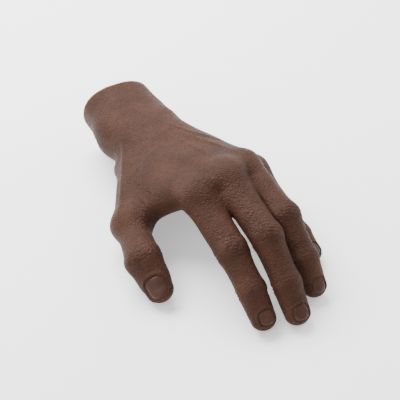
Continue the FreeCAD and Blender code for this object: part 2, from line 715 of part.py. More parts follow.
def hand_volume(name, inset, near_y, far_y, heads):
    parts = []
    sections = []
    for k, (y, x, z, wide, deep) in enumerate(PALM_OVALS):
        y_here = y + far_y if k == 0 else y
        place = palm.multiply(at(x, y_here, z)).multiply(PALM_SECTION)
        sections.append(oval("%s_palm%d" % (name, k), place, wide - inset, deep - inset))
    for k, (y, wide, deep) in enumerate(WRIST_OVALS):
        y_here = y + near_y if k == 2 else y
        place = at(0, y_here, 0).multiply(PALM_SECTION)
        sections.append(oval("%s_wrist%d" % (name, k), place, wide - inset, deep - inset))
    flesh = loft(name + "_loft", sections)
    flesh.Ruled = True
    parts.append(flesh)
    for pad_name, (x, y, z, wide, long, deep) in FLESH.items():
        parts.append(prim("Ellipsoid", "%s_%s" % (name, pad_name), palm.multiply(at(x, y, z)),
                          Radius1=deep - inset, Radius2=wide - inset, Radius3=long - inset))
    for digit, data in FINGERS.items() if heads else ():
        root = palm.multiply(finger_root(data))
        place = root.multiply(at(-HEAD_LENGTH)).multiply(ALONG_X)
        head = prim("Cylinder", "%s_%s_head" % (name, digit), place, Height=HEAD_LENGTH,
                    Radius="Sizes.%s_base_deep + 0.2" % digit)
        tools = bevels("%s_%s_head" % (name, digit), root, 1, PALM_RELIEF[0], BACK_RELIEF[0])
        parts.append(cut("%s_%s_trimmed" % (name, digit), head, tools))
        parts.append(prim("Sphere", "%s_%s_ball" % (name, digit), root,
                          Radius="Sizes.%s_base_ball" % digit))
    return fuse(name, parts)


thumb_root = palm.multiply(THUMB_ROOT)


def thumb_sweep(name):
    tools = []
    for k, angle in enumerate(SWEEP_ANGLES):
        place = thumb_root.multiply(about_y(angle)).multiply(at(SLEEVE_START - 0.5))
        tools.append(prim("Cone", "%s_cone%d" % (name, k), place.multiply(ALONG_X),
                          Radius1="Sizes.thumb_base_wide + 0.6",
                          Radius2="Sizes.thumb_first_wide + 0.6", Height=45.0))
    gap = values["tongue_width"] + 0.6
    tools.append(prim("Cylinder", name + "_slot",
                      thumb_root.multiply(at(0, -gap / 2)).multiply(ALONG_Y),
                      Radius=13.0, Height=gap))
    return tools


slots = []
for digit, data in FINGERS.items():
    root = palm.multiply(finger_root(data))
    slots.append(knuckle_slot("glove_%s_slot" % digit, root, data["half"]))
    slots.append(pin_space("glove_%s_pin_space" % digit, root, data["width"]))
outer = hand_volume("glove_outer", 0.0, 0.0, 0.0, True)
inner = hand_volume("glove_inner", values["skin"], 5.0, values["skin"], False)
glove = carve("palm_glove", outer, [inner, chassis] + slots + thumb_sweep("glove_thumb"))
node(glove, "palm_glove", ORIGIN)

core_volume = hand_volume("padding_volume", values["skin"], 5.0, values["skin"], False)
mouth = ring_along_y("padding_mouth", -values["padding_front"], 60.0, 60.0)
solid_housing = ring_along_y("padding_housing", face, housing_length, "Sizes.housing_radius")
solid_screws = housing_screw_parts("padding_screw", ORIGIN)
solid_cover = body("padding_cover_space")
space_outline = sketch(solid_cover, "space_outline", "XY_Plane", at(0, 0, cover_top))
polygon(space_outline, COVER)
pad(solid_cover, space_outline, "space_pad", values["cover_thick"], "Sizes.cover_thick")
solid_cover.Placement = palm
thumb_pin = pin_space("padding_pin_space", thumb_root, THUMB["width"])
padding = carve("palm_padding", core_volume,
                [mouth, solid_housing, solid_cover, cover_screws, chassis, thumb_pin]
                + solid_screws + thumb_sweep("padding_thumb"))
node(padding, "palm_padding", ORIGIN)

# ---------------------------------------------------------------- build, check, write
doc.recompute()
bad = []
for item in doc.Objects:
    if "Invalid" in item.State or "Error" in item.State:
        bad.append("%s %s" % (item.Name, item.State))
os.makedirs("parts", exist_ok=True)
for item in NODES:
    shape = item.Shape
    if shape.isNull() or not shape.isValid():
        bad.append("shape " + item.Label)
        continue
    print("%-26s solids %d volume %.0f" % (item.Label, len(shape.Solids), shape.Volume))
    shape.exportStep("parts/%s.step" % item.Label)
if bad:
    raise RuntimeError("problems: " + "; ".join(bad))
print("nodes written:", len(NODES))
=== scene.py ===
import json
import math
import bpy
import numpy as np
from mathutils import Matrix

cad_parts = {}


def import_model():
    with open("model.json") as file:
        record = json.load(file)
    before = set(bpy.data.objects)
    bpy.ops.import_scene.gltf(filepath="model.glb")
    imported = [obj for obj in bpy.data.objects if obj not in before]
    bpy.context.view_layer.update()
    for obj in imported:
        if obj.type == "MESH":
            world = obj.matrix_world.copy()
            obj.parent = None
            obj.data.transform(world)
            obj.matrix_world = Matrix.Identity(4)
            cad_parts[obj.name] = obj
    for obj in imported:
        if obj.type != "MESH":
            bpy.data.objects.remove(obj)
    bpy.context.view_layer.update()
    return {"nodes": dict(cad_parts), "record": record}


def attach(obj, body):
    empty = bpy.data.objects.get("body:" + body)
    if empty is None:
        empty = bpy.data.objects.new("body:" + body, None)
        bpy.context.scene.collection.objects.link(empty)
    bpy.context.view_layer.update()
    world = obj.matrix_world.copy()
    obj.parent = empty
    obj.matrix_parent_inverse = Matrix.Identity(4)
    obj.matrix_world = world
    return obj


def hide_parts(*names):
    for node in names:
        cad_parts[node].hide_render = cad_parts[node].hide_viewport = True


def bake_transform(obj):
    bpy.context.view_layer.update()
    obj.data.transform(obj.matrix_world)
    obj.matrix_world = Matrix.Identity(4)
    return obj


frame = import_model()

import openvdb
from mathutils import Vector

MM = 0.001
FLOOR = -28.6          # height of the surface the hand rests on
TABLE_ROWS = 25        # steps in the smoothed table of a limb
STUB_POWER = 2.3       # roundness of the wrist section: 2 is an ellipse
PALM_POWER = 2.5       # the same for the palm

# ---------------------------------------------------------------- frames (mm)


def shift(x=0.0, y=0.0, z=0.0):
    m = np.eye(4)
    m[:3, 3] = (x, y, z)
    return m


def spin(axis, angle):
    c, s = math.cos(math.radians(angle)), math.sin(math.radians(angle))
    i, j = [(1, 2), (2, 0), (0, 1)][axis]
    m = np.eye(4)
    m[i, i] = m[j, j] = c
    m[i, j], m[j, i] = -s, s
    return m


def local(frame_matrix, p):
    r = frame_matrix[:3, :3]
    return (p - frame_matrix[:3, 3]) @ r


def world(frame_matrix, p):
    return np.asarray(p, float) @ frame_matrix[:3, :3].T + frame_matrix[:3, 3]


PALM = shift(0, -33, 0) @ spin(2, 12.5) @ spin(0, -13.0) @ spin(1, 4.5)
FINGERS = {
    "index": dict(at=(-26.0, -86.0, -1.5), spread=-8.7, rest=(33.5, 11.0, 8.5),
                  bones=(44.0, 26.5, 25.5)),
    "middle": dict(at=(-4.0, -89.0, 2.0), spread=-10.3, rest=(27.5, 22.5, 8.0),
                   bones=(49.0, 31.0, 26.0)),
    "ring": dict(at=(16.6, -83.0, -0.5), spread=-8.6, rest=(23.0, 25.5, 12.0),
                 bones=(46.0, 29.0, 25.0)),
    "little": dict(at=(33.8, -73.0, -12.0), spread=-6.5, rest=(32.7, 2.0, 2.0),
                   bones=(35.0, 19.0, 21.0)),
}
THUMB = dict(at=(-29.6, -14.0, -12.8), swing=33.4, drop=15.4, turn=25.2, kink=7.9,
             rest=(0.0, 1.8, 34.0), bones=(45.0, 33.0, 30.0))


def chain(root, data, kink=0.0):
    frames = [root @ spin(1, data["rest"][0])]
    for k in (0, 1):
        twist = spin(2, kink if k == 0 else 0.0)
        frames.append(frames[k] @ shift(data["bones"][k]) @ twist @ spin(1, data["rest"][k + 1]))
    return frames


ROOTS = {}
CHAINS = {}
for name, data in FINGERS.items():
    ROOTS[name] = PALM @ shift(*data["at"]) @ spin(2, data["spread"] - 90)
    CHAINS[name] = chain(ROOTS[name], data)
ROOTS["thumb"] = (PALM @ shift(*THUMB["at"]) @ spin(2, -90 - THUMB["swing"])
                  @ spin(1, THUMB["drop"]) @ spin(0, THUMB["turn"]))
CHAINS["thumb"] = chain(ROOTS["thumb"], THUMB, THUMB["kink"])
BONES = {k: v["bones"] for k, v in FINGERS.items()}
BONES["thumb"] = THUMB["bones"]

# flesh round each bone: (share of the bone, half width, half depth on the back, on the palm side)
FLESH = {
    "index": [[(0, 10.6, 9.6, 11.0), (.3, 10.6, 8.9, 10.8), (.6, 10.7, 8.4, 10.0), (1, 10.3, 8.6, 9.4)],
              [(0, 10.3, 8.6, 9.2), (.5, 9.1, 7.6, 9.2), (1, 9.2, 7.2, 8.2)],
              [(0, 9.2, 7.2, 8.2), (.45, 8.8, 6.7, 8.6), (1, 8.2, 5.7, 7.4)]],
    "middle": [[(0, 10.2, 9.8, 11.0), (.3, 10.4, 8.9, 10.8), (.6, 10.5, 8.4, 10.0), (1, 10.3, 8.6, 9.4)],
               [(0, 10.3, 8.6, 9.2), (.5, 9.1, 7.7, 9.2), (1, 9.2, 7.2, 8.2)],
               [(0, 9.2, 7.2, 8.2), (.45, 8.9, 6.7, 8.7), (1, 8.4, 5.8, 7.5)]],
    "ring": [[(0, 9.8, 9.4, 10.6), (.3, 9.2, 8.6, 10.4), (.6, 9.0, 8.1, 9.7), (1, 9.9, 8.4, 9.1)],
             [(0, 9.9, 8.4, 9.0), (.5, 8.8, 7.4, 8.9), (1, 8.9, 7.0, 8.0)],
             [(0, 8.9, 7.0, 8.0), (.45, 8.6, 6.5, 8.4), (1, 8.0, 5.6, 7.2)]],
    "little": [[(0, 7.8, 7.2, 9.0), (.3, 7.2, 6.4, 8.6), (.6, 7.0, 6.2, 8.0), (1, 7.5, 6.2, 7.5)],
               [(0, 7.5, 6.2, 7.5), (.5, 7.0, 5.8, 7.4), (1, 7.2, 5.7, 6.8)],
               [(0, 7.2, 5.7, 6.8), (.45, 7.0, 5.3, 7.0), (1, 6.4, 4.6, 6.0)]],
    "thumb": [[(0, 12.4, 10.2, 13.0), (.4, 11.6, 10.8, 13.5), (.75, 11.2, 10.6, 12.5), (1, 12.0, 10.4, 11.5)],
              [(0, 12.3, 10.6, 11.5), (.45, 10.6, 8.9, 10.4), (.8, 11.2, 8.7, 9.8), (1, 11.6, 8.8, 9.6)],
              [(0, 11.6, 8.8, 9.6), (.4, 10.9, 7.6, 9.8), (.8, 10.0, 6.7, 8.8), (1, 8.8, 5.7, 7.6)]],
}
TIP_ROUND = {"index": 7.2, "middle": 7.4, "ring": 7.1, "little": 5.9, "thumb": 8.0}

# ---------------------------------------------------------------- distance shapes


def hermite(x, xs, ys):
    slope = np.gradient(ys, xs)
    k = np.clip(np.searchsorted(xs, x, side="right") - 1, 0, len(xs) - 2)
    h = xs[k + 1] - xs[k]
    u = np.clip((x - xs[k]) / h, 0, 1)
    return ((2 * u ** 3 - 3 * u ** 2 + 1) * ys[k] + (u ** 3 - 2 * u ** 2 + u) * h * slope[k]
            + (-2 * u ** 3 + 3 * u ** 2) * ys[k + 1] + (u ** 3 - u ** 2) * h * slope[k + 1])


def smooth_table(rows):
    rows = np.array(rows, float)
    t = np.linspace(0, 1, TABLE_ROWS)
    return [t] + [hermite(t, rows[:, 0], rows[:, c]) for c in range(1, rows.shape[1])]


def limb(frame_matrix, length, rows, cap=None):
    """A tapering limb along local x: an oval whose half sizes follow the rows; cap is its end radius."""
    table = smooth_table(rows)

    def value(p):
        q = local(frame_matrix, p)
        x = np.clip(q[:, 0], 0, length)
        t = x / length
        wide = np.interp(t, table[0], table[1])
        back = np.interp(t, table[0], table[2])
        under = np.interp(t, table[0], table[3])
        deep = np.where(q[:, 2] > 0, back, under)
        ends = cap or np.minimum(wide, deep)
        over = q[:, 0] - x
        g = np.sqrt((q[:, 1] / wide) ** 2 + (q[:, 2] / deep) ** 2 + (over / ends) ** 2)
        return (g - 1) * np.minimum(wide, deep)

    ends = world(frame_matrix, [(0, 0, 0), (length, 0, 0)])
    reach = max(max(r[1:]) for r in rows)
    return value, ends.min(0) - reach, ends.max(0) + reach


def blob(frame_matrix, centre, radii):
    c = np.array(centre, float)
    r = np.array(radii, float)

    def value(p):
        q = (local(frame_matrix, p) - c) / r
        return (np.sqrt((q ** 2).sum(1)) - 1) * r.min()

    middle = world(frame_matrix, c)
    return value, middle - r.max(), middle + r.max()


def rod(a, b, radius):
    d = b - a

    def value(p):
        t = np.clip(((p - a) @ d) / (d @ d), 0, 1)
        return np.sqrt(((p - a - t[:, None] * d) ** 2).sum(1)) - radius

    return value, np.minimum(a, b) - radius, np.maximum(a, b) + radius


def web(a, b, c, thick):
    """A rounded triangular sheet of flesh."""
    a, b, c = (np.array(v, float) for v in (a, b, c))
    n = np.cross(b - a, c - a)
    n /= np.linalg.norm(n)

    def value(p):
        best = np.full(len(p), np.inf)
        inside = np.ones(len(p), bool)
        for s, e in ((a, b), (b, c), (c, a)):
            d = e - s
            t = np.clip(((p - s) @ d) / (d @ d), 0, 1)
            best = np.minimum(best, ((p - s - t[:, None] * d) ** 2).sum(1))
            inside &= np.cross(d, p - s) @ n >= 0
        flat = ((p - a) @ n) ** 2
        return np.sqrt(np.where(inside, flat, best)) - thick

    pts = np.array([a, b, c])
    return value, pts.min(0) - thick, pts.max(0) + thick


# palm: (distance from the wrist, centre x, centre z, half width, back depth, palm depth)
PALM_ROWS = np.array([
    (-14, 1.5, 0.5, 23.4, 17.2, 14.6),
    (0, 1.8, 0.5, 22.0, 17.0, 14.0),
    (14, 1.8, -0.5, 22.4, 16.5, 15.0),
    (30, 0.0, -2.0, 28.8, 15.8, 17.6),
    (50, -1.5, -2.5, 35.0, 14.8, 17.0),
    (70, -0.5, -1.5, 36.4, 12.8, 13.5),
    (88, 1.0, -0.5, 36.5, 10.0, 11.5),
], float)
# the knuckle line: x, distance from the wrist and height
KNUCKLE_X = np.array([-36, -26, -4, 16.6, 33.8, 42], float)
KNUCKLE_Y = np.array([84.5, 86, 89, 83, 73, 66], float)
KNUCKLE_Z = np.array([-3.5, -1.5, 2, -0.5, -12, -17], float)


PALM_SIDES = (-36, 44)
PALM_START, PALM_LONG = PALM_ROWS[0, 0], PALM_ROWS[-1, 0]
ARCH_POWER = 1.3       # how late the knuckle arch rises along the palm


def palm_value(p):
    q = local(PALM, p)
    across = np.clip(q[:, 0], *PALM_SIDES)
    line = hermite(across, KNUCKLE_X, KNUCKLE_Y)
    along = -q[:, 1] * PALM_LONG / line
    far = np.clip(along, PALM_START, PALM_LONG)
    arch = hermite(across, KNUCKLE_X, KNUCKLE_Z) * np.clip(far / PALM_LONG, 0, 1) ** ARCH_POWER
    cx, cz, wide, back, under = (hermite(far, PALM_ROWS[:, 0], PALM_ROWS[:, k]) for k in range(1, 6))
    x = (q[:, 0] - cx) / wide
    z = q[:, 2] - cz - arch
    deep = np.where(z > 0, back, under)
    over = (along - far) / np.minimum(wide, deep)
    g = (np.abs(x) ** PALM_POWER + np.abs(z / deep) ** PALM_POWER
         + np.abs(over) ** PALM_POWER) ** (1 / PALM_POWER)
    return (g - 1) * deep


PALM_BOX = (np.array([-62.0, -150, -40]), np.array([72.0, -5, 45]))
# wrist stub: (y, half width, half depth)
STUB_ROWS = np.array([(-48, 21.5, 16.6), (-33, 23.2, 16.9), (-15, 25.3, 17.4), (0, 25.7, 18.2),
                      (20, 25.2, 18.2)], float)


def stub_section(p, wall=0.0):
    """The place along the stub, its half depth there, and the powers of a point across it."""
    y = np.clip(p[:, 1], STUB_ROWS[0, 0], STUB_ROWS[-1, 0])
    wide = hermite(y, STUB_ROWS[:, 0], STUB_ROWS[:, 1]) - wall
    deep = hermite(y, STUB_ROWS[:, 0], STUB_ROWS[:, 2]) - wall
    return y, deep, np.abs(p[:, 0] / wide) ** STUB_POWER + np.abs(p[:, 2] / deep) ** STUB_POWER


def stub_value(p):
    y, deep, across = stub_section(p)
    over = (p[:, 1] - y) / deep
    g = across + np.abs(over) ** STUB_POWER
    return (g ** (1 / STUB_POWER) - 1) * deep


STUB_BOX = (np.array([-32.0, -70, -24]), np.array([32.0, 24, 24]))


def on_palm(x, y, z):
    return world(PALM, (x, y, z))


def segment(digit, k):
    length = BONES[digit][k] - (TIP_ROUND[digit] if k == 2 else 0)
    return limb(CHAINS[digit][k], length, FLESH[digit][k],
                cap=TIP_ROUND[digit] if k == 2 else None)


THUMB_ENDS = (on_palm(-20.5, -15.5, -9), CHAINS["thumb"][1][:3, 3])
THUMB_LONG = float(np.linalg.norm(THUMB_ENDS[1] - THUMB_ENDS[0]))
THUMB_ROOM = np.eye(4)
THUMB_ROOM[:3, 0] = (THUMB_ENDS[1] - THUMB_ENDS[0]) / THUMB_LONG
THUMB_ROOM[:3, 1] = np.cross(CHAINS["thumb"][0][:3, 2], THUMB_ROOM[:3, 0])
THUMB_ROOM[:3, 1] /= np.linalg.norm(THUMB_ROOM[:3, 1])
THUMB_ROOM[:3, 2] = np.cross(THUMB_ROOM[:3, 0], THUMB_ROOM[:3, 1])
THUMB_ROOM[:3, 3] = THUMB_ENDS[0]

ULNAR = (blob(PALM, (14.5, -1, 7.4), (8.5, 10, 8.0)), 6.0)
METACARPAL = limb(THUMB_ROOM, THUMB_LONG, FLESH["thumb"][0])
PALM_SHAPES = [
    ((palm_value,) + PALM_BOX, 0.0),
    ((stub_value,) + STUB_BOX, 10.0),
    (blob(PALM, (-13, -37, -10.5), (13, 27, 12.5)), 9.0),
    (blob(PALM, (19, -36, -12), (15, 32, 12)), 9.0),
    ULNAR,
    (METACARPAL, 9.0),
    (blob(PALM, (-27, -14, -12.5), (5.0, 9.0, 5.5)), 6.0),
    (web(on_palm(-25, -24, -7), world(CHAINS["thumb"][0], (41, 4, -2)), on_palm(-30, -70, -7), 7.0), 10.0),
]
for digit, size in (("index", 7.6), ("middle", 8.5), ("ring", 8.0), ("little", 6.6)):
    PALM_SHAPES.append((blob(ROOTS[digit], (-3.5, 0, 0.9), (14.0, size + 0.6, size)), 6.0))
for a, b, u, v, size in (("index", "middle", 17, 15, 6.0), ("middle", "ring", 16, 20, 6.0),
                         ("ring", "little", 19, 12, 5.4)):
    ends = world(CHAINS[a][0], (u, 3, -3)), world(CHAINS[b][0], (v, -3, -3))
    PALM_SHAPES.append((rod(ends[0], ends[1], size), 7.0))
DIGIT_SHAPES = {digit: [(segment(digit, 0), 0.0), (segment(digit, 1), 3.0), (segment(digit, 2), 2.5)]
                for digit in FINGERS}
DIGIT_SHAPES["thumb"] = [(segment("thumb", 1), 0.0), (segment("thumb", 2), 3.0)]
NEIGHBOURS = (("index", "middle"), ("middle", "ring"), ("ring", "little"))
SLIT = 0.55            # half the gap kept between neighbouring fingers
DIGIT_MERGE = 6.0      # how softly the digits run into the palm
CUFF_END, CUFF_WALL = 12.0, 2.2
BORE_FLOOR = -3.4
POCKET_RADIUS, POCKET_FLOOR = 15.5, -8.0


def smooth_min(a, b, k):
    if k <= 0:
        return np.minimum(a, b)
    h = np.clip(0.5 + 0.5 * (b - a) / k, 0, 1)
    return b + (a - b) * h - k * h * (1 - h)


def soft(x, a, b):
    t = np.clip((x - a) / (b - a), 0, 1)
    return t * t * (3 - 2 * t)


def hollow(d, p):
    """The open cuff: cut at its end, bored inside, with a round pocket for the wrist unit."""
    d = np.maximum(d, p[:, 1] - CUFF_END)
    _, deep, across = stub_section(p, CUFF_WALL)
    bore = np.maximum((across ** (1 / STUB_POWER) - 1) * deep, BORE_FLOOR - p[:, 1])
    pocket = np.maximum(np.hypot(p[:, 0], p[:, 2]) - POCKET_RADIUS, POCKET_FLOOR - p[:, 1])
    return np.maximum(d, -np.minimum(bore, pocket))


STEP = 0.7
FAR, BAND = 30.0, 6.0  # the distance given to empty space, and the depth kept round the surface
LOW = np.array([-66.0, -222.0, -32.0])
HIGH = np.array([70.0, 19.0, 36.0])
COUNT = np.ceil((HIGH - LOW) / STEP).astype(int) + 1
AXES = [LOW[k] + STEP * np.arange(COUNT[k]) for k in range(3)]


def field_of(shapes):
    field = np.full(COUNT, FAR, np.float32)
    for (value, low, high), k in shapes:
        margin = 6.0 + 2.5 * k
        a = np.clip(((low - margin - LOW) / STEP).astype(int), 0, COUNT - 1)
        b = np.clip(((high + margin - LOW) / STEP).astype(int) + 1, 1, COUNT)
        grid = np.meshgrid(*[AXES[i][a[i]:b[i]] for i in range(3)], indexing="ij")
        d = value(np.stack([g.ravel() for g in grid], 1)).reshape(grid[0].shape)
        part = field[a[0]:b[0], a[1]:b[1], a[2]:b[2]]
        field[a[0]:b[0], a[1]:b[1], a[2]:b[2]] = smooth_min(part, d, k)
    return field


def sample(field, p):
    """The field at any points, from the eight grid points round each."""
    q = (p - LOW) / STEP
    i = np.clip(np.floor(q).astype(int), 0, COUNT - 2)
    f = q - i
    total = np.zeros(len(p))
    for corner in range(8):
        o = np.array([corner & 1, corner >> 1 & 1, corner >> 2 & 1])
        share = np.prod(np.where(o == 1, f, 1 - f), axis=1)
        total += share * field[i[:, 0] + o[0], i[:, 1] + o[1], i[:, 2] + o[2]]
    return total


def whole_hand(palm_field, raw):
    """Palm and digits in one field, with neighbouring fingers parted and the cuff hollowed."""
    parted = {d: f.copy() for d, f in raw.items()}
    for a, b in NEIGHBOURS:
        lean = (raw[a] - raw[b]) / 2
        parted[a] = np.maximum(parted[a], lean + SLIT)
        parted[b] = np.maximum(parted[b], SLIT - lean)
    digits = np.minimum.reduce(list(parted.values()))
    field = smooth_min(palm_field, digits, DIGIT_MERGE)
    first = int((-12.0 - LOW[1]) / STEP)
    grid = np.meshgrid(AXES[0], AXES[1][first:], AXES[2], indexing="ij")
    part = field[:, first:, :]
    cut = hollow(part.ravel().astype(float), np.stack([g.ravel() for g in grid], 1))
    field[:, first:, :] = cut.reshape(part.shape)
    return np.clip(field, -BAND, BAND)


palm_field = field_of(PALM_SHAPES)
raw_fields = {digit: field_of(shapes) for digit, shapes in DIGIT_SHAPES.items()}
hand_field = whole_hand(palm_field, raw_fields)
grid = openvdb.FloatGrid(BAND)
grid.copyFromArray(np.ascontiguousarray(hand_field, np.float32))
points, quads = grid.convertToQuads(0.0)
points = LOW + STEP * np.asarray(points, float)
quads = np.asarray(quads, int)


def new_mesh(name, verts, faces):
    mesh = bpy.data.meshes.new(name)
    mesh.vertices.add(len(verts))
    mesh.vertices.foreach_set("co", (np.asarray(verts, np.float32) * MM).ravel())
    mesh.loops.add(faces.size)
    mesh.loops.foreach_set("vertex_index", faces.astype(np.int32).ravel())
    mesh.polygons.add(len(faces))
    mesh.polygons.foreach_set("loop_start", np.arange(0, faces.size, faces.shape[1], dtype=np.int32))
    mesh.polygons.foreach_set("use_smooth", np.ones(len(faces), bool))
    mesh.update(calc_edges=True)
    return mesh


def face_normals(verts, faces):
    """Vertex normals from the faces, weighted by area."""
    n = np.cross(verts[faces[:, 2]] - verts[faces[:, 0]], verts[faces[:, 3]] - verts[faces[:, 1]])
    out = np.zeros_like(verts)
    for k in range(faces.shape[1]):
        np.add.at(out, faces[:, k], n)
    return out / np.maximum(np.linalg.norm(out, axis=1, keepdims=True), 1e-9)


if (face_normals(points, quads) * (points - points.mean(0))).sum() < 0:
    quads = quads[:, ::-1]

# ---------------------------------------------------------------- skin relief
# HALF: at each joint, the frame turned half of the rest bend
HALF = {}
for digit in CHAINS:
    rest, bones = (THUMB if digit == "thumb" else FINGERS[digit])["rest"], BONES[digit]
    twist = spin(2, THUMB["kink"] if digit == "thumb" else 0.0)
    HALF[digit] = [ROOTS[digit] @ spin(1, rest[0] / 2),
                   CHAINS[digit][0] @ shift(bones[0]) @ twist @ spin(1, rest[1] / 2),
                   CHAINS[digit][1] @ shift(bones[1]) @ spin(1, rest[2] / 2)]


def groove(x, centre, width):
    return np.exp(-((x - centre) / width) ** 2)


# joint wrinkles on the back: digit, joint, places along the finger, depth, half width across
WRINKLES = []
for digit in FINGERS:
    small = 0.8 if digit == "little" else 1.0
    WRINKLES.append((digit, 1, (-6.4, -4.4, -2.6, -0.9, 0.8, 2.6, 4.6, 6.8), 0.42 * small, 8.0 * small))
    WRINKLES.append((digit, 2, (-2.6, -0.6, 1.3, 3.2), 0.3 * small, 7.0 * small))
WRINKLES.append(("thumb", 2, (-6.0, -4.0, -2.2, -0.5, 1.2, 3.0, 5.0), 0.45, 10.0))
WRINKLES.append(("thumb", 1, (-4.0, -1.5, 1.0, 3.5), 0.2, 10.0))


def wrinkles(p):
    d = np.zeros(len(p))
    for digit, joint, places, depth, across in WRINKLES:
        q = local(HALF[digit][joint], p)
        near = (np.abs(q[:, 0]) < 12) & (np.abs(q[:, 1]) < 15) & (q[:, 2] > -3) & (q[:, 2] < 16)
        q = q[near]
        mask = soft(q[:, 2], 0, 5) * np.exp(-(q[:, 1] / across) ** 4)
        total = np.zeros(len(q))
        for k, place in enumerate(places):
            bend = place * (1 - 0.45 * (q[:, 1] / across) ** 2)
            wave = 0.35 * np.sin(q[:, 1] * (0.5 + 0.11 * k) + k * 1.9)
            total += groove(q[:, 0], bend + wave, 0.5) * (1.25 if abs(place) < 1 else 0.8)
        d[near] -= depth * mask * np.minimum(total, 1.3)
        d[near] += 0.25 * depth * mask * np.exp(-(q[:, 0] / 7) ** 2)
    return d


def creases(p):
    """Flexion lines on the palm side of each joint."""
    d = np.zeros(len(p))
    for digit in HALF:
        for joint in (1, 2) if digit != "thumb" else (2,):
            q = local(HALF[digit][joint], p)
            near = (np.abs(q[:, 0]) < 5) & (np.abs(q[:, 1]) < 14) & (q[:, 2] < 3) & (q[:, 2] > -16)
            q = q[near]
            d[near] -= 0.7 * (groove(q[:, 0], -0.7, 0.7) + groove(q[:, 0], 1.2, 0.6)) * soft(-q[:, 2], -1, 4)
    return d


# tendons on the back: far end on the palm, height, half width, start and end of the ridge
TENDONS = [((-24, -80), 0.3, 2.4, .45, 1.0), ((-4, -84), 1.1, 2.2, .15, .92),
           ((12.0, -79), 1.2, 2.0, .10, .95), ((24, -70), 0.9, 1.9, .10, .95)]
TENDON_START = np.array([0.0, -8.0])


def tendons(p, normal):
    q = local(PALM, p)
    up = soft(normal @ PALM[:3, 2], 0.35, 0.75)
    d = np.zeros(len(p))
    for end, height, width, start, stop in TENDONS:
        way = np.array(end) - TENDON_START
        t = ((q[:, :2] - TENDON_START) @ way) / (way @ way)
        off = (q[:, :2] - TENDON_START - t[:, None] * way) @ np.array([-way[1], way[0]]) / np.linalg.norm(way)
        window = soft(t, start, start + 0.25) * (1 - soft(t, stop - 0.2, stop + 0.05))
        d += height * up * window * (groove(off, 0, width) - 0.42 * groove(off, 0, 2.3 * width))
    for digit in FINGERS:
        spot = np.array(FINGERS[digit]["at"])[:2]
        gap = np.hypot(*(q[:, :2] - spot - np.array([0, 4.0])).T)
        d += up * 0.25 * groove(gap, 0, 7.0)
    return d


def thumb_lines(p, normal):
    """The long thumb tendon and the fold lines of the thumb web."""
    q = local(THUMB_ROOM, p)
    up = soft(normal @ THUMB_ROOM[:3, 2], 0.2, 0.7)
    t = q[:, 0] / THUMB_LONG
    d = 1.0 * up * groove(q[:, 1], -1.5, 2.2) * soft(t, -0.35, 0.0) * (1 - soft(t, 0.8, 1.05))
    w = local(CHAINS["thumb"][0], p)
    reach = w[:, :2] - np.array([55.0, 16.0])
    radius = np.hypot(*reach.T)
    angle = np.degrees(np.arctan2(reach[:, 1], reach[:, 0]))
    mask = soft(w[:, 2], -8, 0) * soft(radius, 1, 4) * (1 - soft(radius, 12, 20))
    for turn in (150, 165, -179, -164):
        apart = (angle - turn - 2.5 * radius / 4 + 180) % 360 - 180
        across = np.radians(apart) * radius
        d -= 0.6 * mask * groove(across, 0, 0.8) * (np.abs(apart) < 40)
    return d - 0.8 * soft(w[:, 2], -8, 0) * groove(radius, 0, 5)


NAILS = {"thumb": (6.4, 13.0), "index": (4.8, 9.2), "middle": (5.0, 9.6), "ring": (4.8, 9.2),
         "little": (3.9, 7.5)}
NAIL_END = 2.6


def nail_shape(digit, x, y):
    """Below 1 inside the nail outline, from the distal frame's x and y."""
    half, long = NAILS[digit]
    middle = BONES[digit][2] - NAIL_END - long / 2
    return (np.abs((x - middle) / (long / 2)) ** 3 + np.abs(y / half) ** 3) ** (1 / 3)


def nail_folds(p):
    d = np.zeros(len(p))
    for digit in NAILS:
        q = local(CHAINS[digit][2], p)
        near = (q[:, 2] > 0) & (q[:, 0] > 0) & (q[:, 2] < 14) & (np.abs(q[:, 1]) < 14)
        r = nail_shape(digit, q[near, 0], q[near, 1])
        front = soft(q[near, 0], BONES[digit][2] - NAIL_END - 3, BONES[digit][2] - NAIL_END + 1)
        d[near] += (0.65 * groove(r, 1.2, 0.16) * (1 - front) - 0.55 * groove(r, 1.0, 0.07)
                    - 0.25 * (r < 0.95))
    return d


RELIEF_END = 10.5      # no relief on the rim of the cuff
normals = face_normals(points, quads)
shown = points[:, 1] < RELIEF_END
rough = wrinkles(points) + creases(points) + tendons(points, normals) + thumb_lines(points, normals)
points = points + normals * ((rough + nail_folds(points)) * shown)[:, None]
normals = face_normals(points, quads)

# ---------------------------------------------------------------- parting the skin at the joints
DIGITS = ("index", "middle", "ring", "little", "thumb")
SEGMENTS = {d: ("proximal", "middle", "distal") for d in FINGERS}
SEGMENTS["thumb"] = ("metacarpal", "proximal", "distal")


def digit_distances(p):
    return np.stack([sample(raw_fields[d], p) for d in DIGITS])


def finger_weight(p, digit, d):
    """How far a point follows the proximal bone: none on the palm, in the webs and beside the root."""
    k = DIGITS.index(digit)
    others = np.delete(d, k, axis=0).min(0)
    in_palm = 1 - soft(sample(palm_field, p), 0.6, 5)
    apart = soft((others - d[k]) / 2, 0.3, 4.5)
    x = local(HALF[digit][0], p)[:, 0]
    return soft(x, -9, 9) * (1 - in_palm * (1 - apart)) * (1 - soft(d[k], 4, 7))


def thumb_weight(p, d):
    x = local(HALF["thumb"][0], p)[:, 0]
    near = np.minimum(METACARPAL[0](p), d[4])
    return soft(x, -4, 30) * (1 - soft(near, 3, 22)) * soft(d[0], 1, 9)


